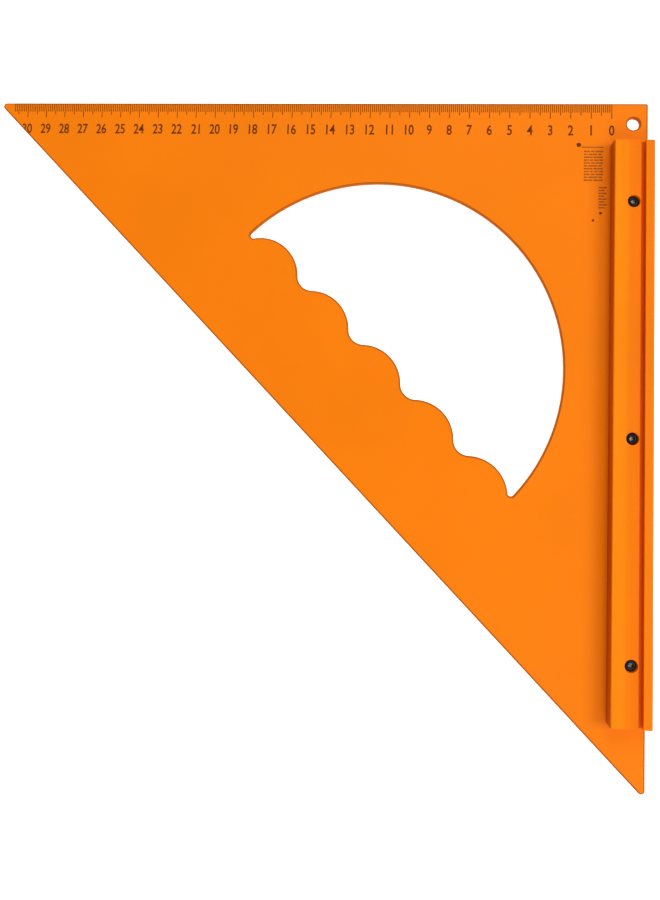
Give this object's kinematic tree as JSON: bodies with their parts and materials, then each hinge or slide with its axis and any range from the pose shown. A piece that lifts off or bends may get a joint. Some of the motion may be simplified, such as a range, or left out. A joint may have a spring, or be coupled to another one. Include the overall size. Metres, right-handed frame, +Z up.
{
  "type": "speed square",
  "caption": "Flat 45-degree triangular layout square with a centimetre scale, a scalloped hand hole and a two-sided screwed fence along one leg.",
  "frame": {"origin": "middle of the bounding box's bottom, on the surface that the square lies on with its back rail down", "axes": "+Z up out of the scale face, +X across the fence and away from the acute tip, +Y out of the scale edge"},
  "size_m": [0.3326, 0.3314, 0.02],
  "materials": {
    "blade_coat": "orange powder coat, semi-gloss, very fine orange peel",
    "fence_coat": "orange powder coat, semi-gloss, on drawn bar",
    "black_steel": "black oxide, lightly oiled",
    "scale_ink": "thin matt dark print"
  },
  "bodies": {
    "root": {"blade": "blade_coat", "fence_front_rail": "fence_coat", "fence_back_rail": "fence_coat", "fence_screw_1": "black_steel", "fence_screw_2": "black_steel", "fence_screw_3": "black_steel"}
  },
  "joints": []
}
